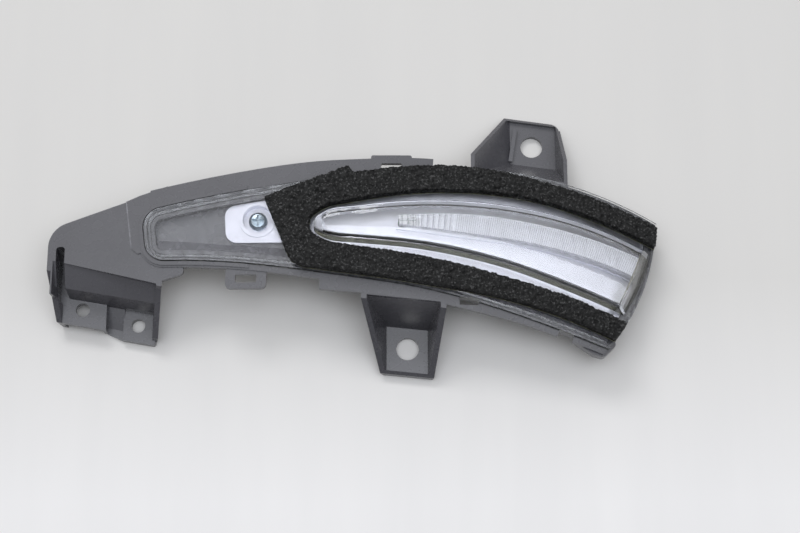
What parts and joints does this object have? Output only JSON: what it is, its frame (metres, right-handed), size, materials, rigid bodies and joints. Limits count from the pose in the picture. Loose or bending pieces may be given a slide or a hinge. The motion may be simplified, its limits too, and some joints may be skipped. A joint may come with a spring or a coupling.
{
  "type": "side turn signal lamp",
  "caption": "Slim curved turn signal lamp for a door mirror, with a clear domed lens, foam seal and screw ears.",
  "frame": {"origin": "centre of the lower ear's screw hole, in the plane of the mounting faces", "axes": "+X along the lamp towards its outer tip, +Y towards its upper edge, +Z out of the lens"},
  "size_m": [0.2388, 0.1083, 0.0345],
  "materials": {
    "housing_plastic": "satin grey moulded plastic",
    "lens_plastic": "clear polished plastic",
    "foam": "open-cell foam",
    "tape": "clear adhesive film",
    "reflector_silver": "bright silver coating",
    "guide_plastic": "clear polished plastic",
    "board": "solder mask",
    "led": "white package",
    "chip": "black package",
    "can": "aluminium can",
    "contact": "tinned brass",
    "screw_zinc": "zinc plated",
    "vent_rubber": "soft rubber"
  },
  "bodies": {
    "root": {"housing": "housing_plastic", "lens": "lens_plastic", "foam_seal": "foam", "seal_tape": "tape", "reflector": "reflector_silver", "light_guide": "guide_plastic", "circuit_board": "board", "led_1": "led", "driver_chip": "chip", "capacitor": "can", "terminal_1": "contact", "reflector_screw": "screw_zinc", "vent_cap": "vent_rubber", "led_2": "led", "diode": "chip", "resistor_1": "chip", "resistor_2": "chip", "resistor_3": "chip", "terminal_2": "contact", "board_screw_1": "screw_zinc", "board_screw_2": "screw_zinc"}
  },
  "joints": []
}
